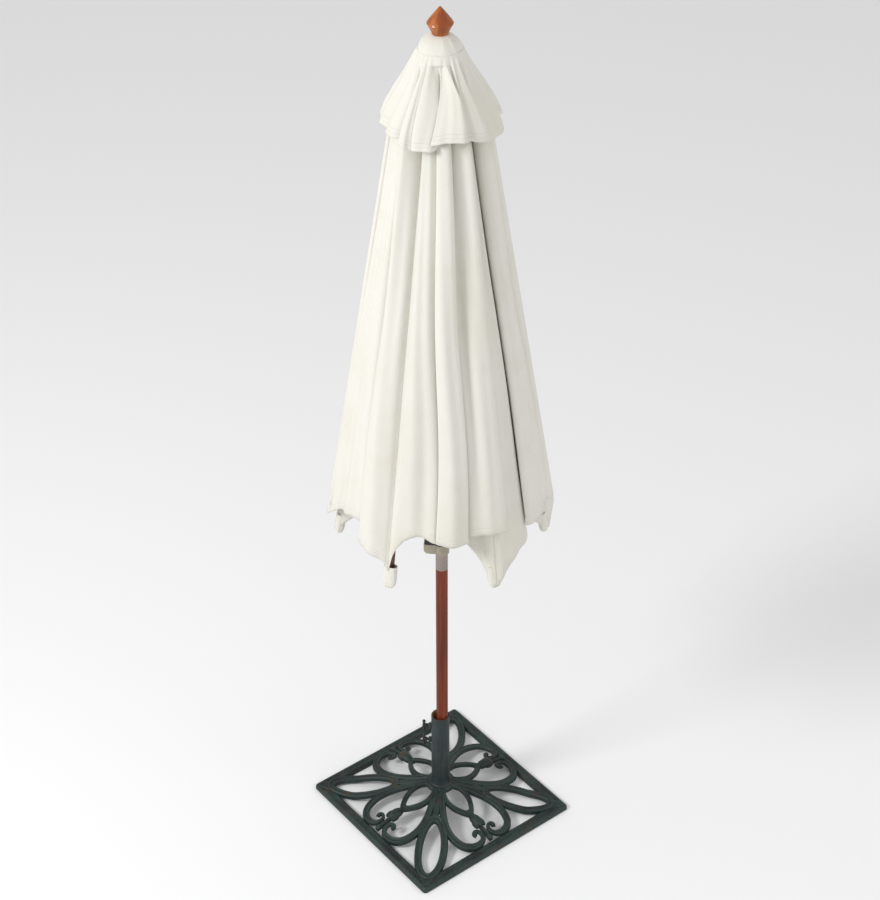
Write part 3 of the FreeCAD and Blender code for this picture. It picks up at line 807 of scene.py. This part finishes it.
# Each sixth has its folds from one rib to the next. A fold is its outer edge, the edge that is tucked under
# it, and how deep it goes: the ribs are at -1 and 1, and an edge past them laps over the rib. The hem's curve
# says how late it drops towards the ribs, and a hem bump where it hangs lower or higher, by how much and how
# wide. A drift is how far the folds stray sideways and how often, and a ripple is its height and how often it
# comes across and down the cloth.
closedTilt = math.radians(10)
canopy = dict(
    start=0.135, ribLength=1.345, openSlant=math.radians(26.84), rows=96, columns=250, thickness=0.0012,
    seamLift=0.0135, standTop=0.046, standHem=0.026, standFrom=0.05, standOver=0.12, depth=0.064,
    depthTop=0.16, bandHalf=0.030, ribClear=0.011, extraRise=0.018, hemWave=0.006, tuckedUp=0.004,
    drifts=((0.05, 1.9), (0.02, 4.3)), ripples=((0.0045, 7, 2.6), (0.0022, 17, -5.1), (0.0030, 4, 9.0)),
    folds=[[(-0.30, 0.04, 0.36), (0.56, 0.18, 0.8), (1.16, 0.62, 0.7)],
           [(-0.40, -0.80, 0.8), (0.20, -0.30, 1.0), (1.18, 0.50, 0.9)],
           [(-1.20, -0.50, 0.9), (0.02, 0.46, 1.0), (0.92, 0.52, 0.6)],
           [(-0.36, -0.80, 0.9), (0.30, -0.26, 1.0), (1.22, 0.56, 0.8)],
           [(-1.24, -0.52, 0.9), (0.34, 0.78, 1.0)],
           [(-0.12, 0.24, 0.45), (0.44, 0.10, 0.40), (1.20, -0.04, 1.0)]],
    hemCurve=[1.5, 1.5, 1.6, 1.4, 1.6, 3.0],
    hemBumps=[[(0.52, 0.035, 0.17)], [(0.50, 0.030, 0.17)], [(-0.48, 0.040, 0.17)], [(0.50, 0.030, 0.17)],
              [(-0.36, 0.118, 0.22), (1.0, -0.048, 0.18)], [(-0.90, -0.078, 0.14)]])


def evenly(points, count, squash=0.45):
    line = np.array(points, float)
    steps = np.hypot(*(np.diff(line, axis=0) * np.array([1, squash])).T)
    run = np.concatenate([[0], np.cumsum(steps)])
    at = np.linspace(0, run[-1], count)
    return np.stack([np.interp(at, run, line[:, 0]), np.interp(at, run, line[:, 1])], 1)


def mirrored(points):
    return [(-x, y) for x, y in reversed(points)]


def foldPath(edge, tuck, deep):
    # a fold whose edge points to +x: over the face, back under it to the tuck, then forward again
    if edge > 1:
        under = [(0.74, -0.56 * deep)] if tuck < 0.4 else []
        over = [(edge - 0.34, 0.80), (edge - 0.10, 1.0), (edge, 0.92), (edge + 0.01, 0.78),
                (edge - 0.08, 0.62), (1.0, 0.42), (0.88, 0.1)]
        back = [(tuck + 0.10, -0.80 * deep), (tuck, -0.96 * deep), (tuck + 0.06, -1.04 * deep),
                (tuck + 0.20, -0.96 * deep), (0.85, -0.80 * deep), (0.95, -0.20), (0.98, 0.0), (1.0, 0.0)]
        return over + under + back
    return [(edge - 0.22, 0.95), (edge - 0.05, 0.86), (edge + 0.02, 0.66), (edge - 0.02, 0.45),
            (edge - 0.10, 0.20), (tuck + 0.10, -0.80 * deep), (tuck, -0.96 * deep),
            (tuck + 0.06, -1.04 * deep), (tuck + 0.14, -0.92 * deep), (edge - 0.13, -0.16),
            (edge - 0.03, 0.24), (edge + 0.09, 0.46)]


def foldLine(spec, count):
    # x runs from rib to rib, and y is a share of the fold's stand, or of its depth where it is below 0
    points = [] if spec[0][0] < -1 else [(-1.0, 0.0), (-0.97, 0.0), (-0.86, 0.35)]
    for edge, tuck, deep in spec:
        if tuck < edge:
            points += foldPath(edge, tuck, deep)
        else:
            points += mirrored(foldPath(-edge, -tuck, deep))
    if spec[-1][0] <= 1:
        points += [(0.90, 0.30), (0.97, 0.0), (1.0, 0.0)]
    return evenly(softened(points), count)


def sixthFrame(index):
    bearing = ribBearing + sector * (index + 0.5)
    out = np.array([math.cos(bearing), math.sin(bearing), 0])
    side = np.array([-math.sin(bearing), math.cos(bearing), 0])
    return bearing, out, side


def clothMesh(name, grid, uv, thickness):
    rows, columns = grid.shape[:2]
    points = grid.reshape(-1, 3)
    faces = []
    for row in range(rows - 1):
        for column in range(columns - 1):
            a = row * columns + column
            faces.append((a, a + columns, a + columns + 1, a + 1))
    piece = meshPiece(name, points, faces)
    layer = piece.data.uv_layers.new(name="cloth")
    flat = uv.reshape(-1, 2)
    index = np.zeros(len(piece.data.loops), int)
    piece.data.loops.foreach_get("vertex_index", index)
    layer.data.foreach_set("uv", flat[index].astype(np.float32).ravel())
    piece.data.polygons.foreach_set("use_smooth", [True] * len(piece.data.polygons))
    solid = piece.modifiers.new("cloth", "SOLIDIFY")
    solid.thickness, solid.offset = thickness, 0.0
    applyAll(piece)
    piece.data.materials.append(looks["cloth"])
    return piece


def gridArea(grid):
    a = grid[1:, :-1] - grid[:-1, :-1]
    b = grid[:-1, 1:] - grid[:-1, :-1]
    c = grid[1:, :-1] - grid[1:, 1:]
    d = grid[:-1, 1:] - grid[1:, 1:]
    return 0.5 * (np.linalg.norm(np.cross(a, b), axis=2).sum() + np.linalg.norm(np.cross(c, d), axis=2).sum())


def clothUv(grid):
    # metres along the cloth: across from its middle, and up from its hem
    across = np.linalg.norm(np.diff(grid, axis=1), axis=2)
    run = np.concatenate([np.zeros((len(grid), 1)), np.cumsum(across, axis=1)], axis=1)
    run -= run[:, -1:] / 2
    down = np.linalg.norm(np.diff(grid, axis=0), axis=2)
    rise = np.concatenate([np.cumsum(down[::-1], axis=0)[::-1], np.zeros((1, grid.shape[1]))], axis=0)
    return np.stack([run, rise], axis=2)


def makePanel(index):
    c = canopy
    bearing, out, side = sixthFrame(index)
    line = foldLine(c["folds"][index], c["columns"])
    x, deep = line[:, 0], line[:, 1]
    rng = np.random.default_rng(40 + index)
    phase = rng.uniform(0, 6.28, 8)
    grid = np.zeros((c["rows"], c["columns"], 3))
    share = np.linspace(-1, 1, c["columns"])
    reach = np.abs(share) ** c["hemCurve"][index]
    slant = c["openSlant"]
    hem = c["ribLength"] * math.cos(slant) / np.cos(slant * reach)
    hem += c["hemWave"] * np.sin(share * 9 + phase[0]) * (1 - share ** 4)
    hem -= c["extraRise"] * (1 - share ** 2)
    for bumpAt, bump, bumpWidth in c["hemBumps"][index]:
        hem += bump * np.exp(-((share - bumpAt) / bumpWidth) ** 2)
    inside = np.clip(1 - np.abs(x) ** 6, 0, 1)  # 0 at the ribs
    (wide, wideTurns), (small, smallTurns) = c["drifts"]
    for row in range(c["rows"]):
        s = c["start"] + (hem - c["start"]) * (row / (c["rows"] - 1)) - c["tuckedUp"]  # down the rib
        part = s / c["ribLength"]
        seam = pinCircle + s * math.sin(closedTilt) + c["seamLift"] / math.cos(closedTilt)
        stand = c["standTop"] + (c["standHem"] - c["standTop"]) * part
        stand = stand * np.clip((s - c["standFrom"]) / c["standOver"], 0, 1)
        depth = c["depth"] * (c["depthTop"] + (1 - c["depthTop"]) * part ** 1.1)
        drift = wide * np.sin(wideTurns * part * math.pi + phase[1]) * inside * (1 - x * x)
        drift += small * np.sin(smallTurns * part * math.pi + phase[2]) * inside
        ripple = 0
        for wave, (height, across, down) in enumerate(c["ripples"]):
            ripple += height * np.sin(x * across + phase[3 + wave] + down * part) * inside
        clear = c["ribClear"] / (seam * math.sin(sector / 2))
        pull = np.clip(-deep / 0.2, 0, 1)
        turn = np.where(np.abs(x) < 1, (x + drift) * (1 - clear * pull), x)
        radius = seam + np.where(deep > 0, deep * stand, deep * depth) + ripple * np.clip(part * 2.2, 0, 1)
        angle = bearing + turn * sector / 2
        grid[row, :, 0] = radius * np.cos(angle)
        grid[row, :, 1] = radius * np.sin(angle)
        grid[row, :, 2] = crownZ - s * math.cos(closedTilt)
    piece = clothMesh("canopyPanel%d" % (index + 1), grid, clothUv(grid), c["thickness"])
    width = 2 * c["ribLength"] * math.sin(slant)
    length = c["ribLength"] * math.cos(slant)
    flatArea = (width * length - 2 * c["start"] ** 2 * math.sin(slant) * math.cos(slant)) / 2
    print(piece.name, "cloth", round(gridArea(grid), 3), "flat", round(flatArea, 3))
    bindCloth(piece, "canopy_panel_%d" % (index + 1))


def bindCloth(piece, node):
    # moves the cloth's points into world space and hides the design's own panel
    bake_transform(piece)
    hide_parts(node)


# The outline is radii and heights from the crown down. Each sixth has its folds, how long it is at its first
# rib, its middle and its last rib, how far the folds sway at the top, how far the cloth sinks between its
# ribs, and how much longer it is beside its first rib.
vent = dict(
    rows=60, columns=160, depth=0.020, stand=0.014, thickness=0.0011, bandHalf=0.020, length=0.250,
    underCap=0.045, fullness=1.4, gather=0.0009, hemWave=0.02, foldFrom=0.17, depthFrom=0.20,
    ripples=((0.0022, 6, 1.5), (0.0008, 17, 0)),
    outline=[(0.0512, 0.0200), (0.0555, 0.0085), (0.0600, -0.0030), (0.0700, -0.0215), (0.0860, -0.050),
             (0.1050, -0.084), (0.1210, -0.116), (0.1300, -0.142), (0.1340, -0.166), (0.1345, -0.190)],
    folds=[[(-0.34, -0.68, 0.5), (0.60, 0.22, 0.7)],
           [(-0.40, -0.72, 1.0), (0.46, 0.10, 0.9)],
           [(-0.30, 0.02, 0.9), (0.72, 0.40, 0.8)],
           [(-0.10, -0.46, 1.0)],
           [(-0.06, 0.22, 0.3), (0.62, 0.86, 0.6)],
           [(-0.30, 0.10, 1.0), (0.84, 0.56, 0.7)]],
    hem=[(0.83, 0.89, 0.80), (0.80, 0.84, 0.81), (0.81, 0.80, 0.83), (0.83, 0.81, 0.83), (0.83, 0.81, 0.93),
         (0.93, 0.83, 0.83)],
    sway=[-0.25, 0.15, -0.10, 0.15, 0.35, 0.95],
    hollow=[0.004, 0.004, 0.003, 0.004, 0.004, 0.021],
    lobe=[0.0, 0.0, 0.0, 0.0, 0.0, 0.045])


def makeVent(index):
    v = vent
    bearing, out, side = sixthFrame(index)
    line = foldLine(v["folds"][index], v["columns"])
    x, deep = line[:, 0], line[:, 1]
    rng = np.random.default_rng(90 + index)
    phase = rng.uniform(0, 6.28, 6)
    outline = np.array(v["outline"])
    stations = np.linspace(0, 1, len(outline))
    grid = np.zeros((v["rows"], v["columns"], 3))
    run = np.linspace(-1, 1, v["columns"])
    first, middle, last = v["hem"][index]
    cut = middle + (last - first) / 2 * run + ((first + last) / 2 - middle) * run ** 2
    cut += v["lobe"][index] * np.exp(-((run + 0.62) / 0.22) ** 2)
    inside = np.clip(1 - np.abs(x) ** 6, 0, 1)  # 0 at the ribs
    for row in range(v["rows"]):
        share = row / (v["rows"] - 1)
        at = share * (cut + v["hemWave"] * np.sin(7 * run + phase[0]) * (1 - run ** 2))
        radius = np.interp(at, stations, outline[:, 0])
        height = np.interp(at, stations, outline[:, 1])
        grow = share ** 1.2
        folded = min(1, max(0, share - v["foldFrom"]) * 2.3) ** 1.2
        depth = v["depth"] * (max(0, share - v["depthFrom"]) / 0.80) ** 0.8
        sway = v["sway"][index] * (1 - share) ** 1.3 * inside * (1 - x * x)
        sink = v["hollow"][index] * math.sin(math.pi * max(0, share - 0.2) ** 0.75)
        hollow = sink * np.exp(-((x + 0.15) / 0.48) ** 2)
        ripple = 0
        for wave, (tall, across, down) in enumerate(v["ripples"]):
            ripple += tall * np.sin(x * across + phase[2 + wave] + down * share)
        fold = np.where(deep > 0, deep * v["stand"] * grow, deep * depth)
        radius = radius - hollow + fold + ripple * grow * inside
        angle = bearing + ((x + sway) * folded + run * (1 - folded)) * sector / 2
        gather = np.sin(24 * angle + 1.5 * np.sin(5 * angle)) + 1
        radius = radius + v["gather"] * gather * math.sin(math.pi * min(1, share / 0.5))
        grid[row, :, 0] = radius * np.cos(angle)
        grid[row, :, 1] = radius * np.sin(angle)
        grid[row, :, 2] = crownZ + height
    piece = clothMesh("ventPanel%d" % (index + 1), grid, clothUv(grid), v["thickness"])
    slant = canopy["openSlant"]
    flatArea = math.sin(slant) * math.cos(slant) * (v["length"] ** 2 - v["underCap"] ** 2) * v["fullness"]
    print(piece.name, "cloth", round(gridArea(grid), 4), "flat", round(flatArea, 4))
    bindCloth(piece, "vent_panel_%d" % (index + 1))


# The outline is radii and heights from the top down, and a gather is its height, how many go round, how far
# they stray and how often they do.
cap = dict(steps=180, rings=22, thickness=0.0007, side=0.16, area=0.0192, hiddenHem=0.06,
           gathers=((0.0007, 7, 1.9, 2), (0.0005, 19, 2.2, 3), (0.0002, 13, 1.6, 5)),
           outline=[(0.0165, 0.0520), (0.0210, 0.0512), (0.0300, 0.0462), (0.0395, 0.0385), (0.0468, 0.0290),
                    (0.0508, 0.0190), (0.0545, 0.0085), (0.0584, -0.0016)])


def makeCap():
    steps, rings = cap["steps"], cap["rings"]
    table = np.array(cap["outline"])
    stations = np.linspace(0, 1, len(table))
    grid = np.zeros((rings, steps + 1, 3))
    for ring in range(rings):
        share = ring / (rings - 1)
        radius = np.interp(share, stations, table[:, 0])
        height = np.interp(share, stations, table[:, 1])
        growths = (math.sin(math.pi * share), (1 - share) ** 2, share ** 2)  # mostly halfway, at top, at rim
        for step in range(steps + 1):
            angle = 2 * math.pi * step / steps
            r = radius
            for growth, (tall, count, stray, strays) in zip(growths, cap["gathers"]):
                r += tall * math.sin(count * angle + stray * math.sin(strays * angle)) * growth
            grid[ring, step] = (r * math.cos(angle), r * math.sin(angle), crownZ + height)
    uv = clothUv(grid) + np.array([0, cap["hiddenHem"]])  # the rim is turned in, so it has no row of stitches
    piece = mended(clothMesh("canopyCap", grid, uv, cap["thickness"]), merge=0.00001, outward=False)
    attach(piece, "umbrella")
    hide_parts("canopy_cap")


# flat pouch sewn to the hem, which holds the rib's tip
pouch = dict(width=0.036, depth=0.0225, length=0.064, below=0.006, closeFrom=0.62, squareness=0.72,
             pucker=0.0004, girth=0.125, thickness=0.0012, rows=26, steps=40)


def makePockets():
    p = pouch
    rows, steps, power = p["rows"], p["steps"], p["squareness"]
    tip = canopy["ribLength"] + p["below"]
    lean, drop = math.sin(closedTilt), math.cos(closedTilt)
    for index in range(ribCount):
        bearing = ribBearing + sector * index
        number = str(index + 1)
        pin = Vector((pinCircle * math.cos(bearing), pinCircle * math.sin(bearing), crownZ))
        spin = Matrix.Rotation(bearing, 3, "Z")
        grid = np.zeros((rows, steps + 1, 3))
        for row in range(rows):
            share = row / (rows - 1)
            s = tip - p["length"] * (1 - share)
            close = max(0.0, (share - p["closeFrom"]) / (1 - p["closeFrom"]))
            swell = math.sqrt(max(0.0, 1 - close ** 2.2))
            wide = p["width"] / 2 * (0.94 + 0.06 * share) * (0.10 + 0.90 * swell)
            thick = p["depth"] / 2 * (0.16 + 0.84 * swell)
            for step in range(steps + 1):
                a = 2 * math.pi * step / steps
                c, d = math.cos(a), math.sin(a)
                t = wide * math.copysign(abs(c) ** power, c)
                n = thick * math.copysign(abs(d) ** power, d) + p["pucker"] * math.sin(9 * a + 7 * share)
                grid[row, step] = pin + spin @ Vector((n * drop + s * lean, t, n * lean - s * drop))
        pocket = clothMesh("ribPocket" + number, grid, clothUv(grid), p["thickness"])
        mended(pocket, merge=0.00001, outward=False)
        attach(pocket, "rib_" + number)
        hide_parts("rib_pocket_" + number)


for index in range(ribCount):
    makePanel(index)
print("canopy gathered")
makeCap()
for index in range(ribCount):
    makeVent(index)
print("vent made")
makePockets()
print("pockets sewn")


# the pieces that stay as the design has them get their finishes
def paintKept():
    kept = {"stem_bolt": "steel", "crank_bracket": "bracket", "crank_case": "black", "crank_reel": "steel",
            "crank_arm": "steel", "crank_knob": "black", "crown_hub": "hub", "crown_pins": "brass",
            "runner": "hub"}
    for index in range(ribCount):
        number = str(index + 1)
        kept["rib_" + number] = "rib"
        kept["stretcher_" + number] = "rib"
        kept["rib_pin_" + number] = "brass"
    for name, look in kept.items():
        node = nodes[name]
        node.data.materials.clear()
        node.data.materials.append(looks[look])


paintKept()
print("kept pieces painted")
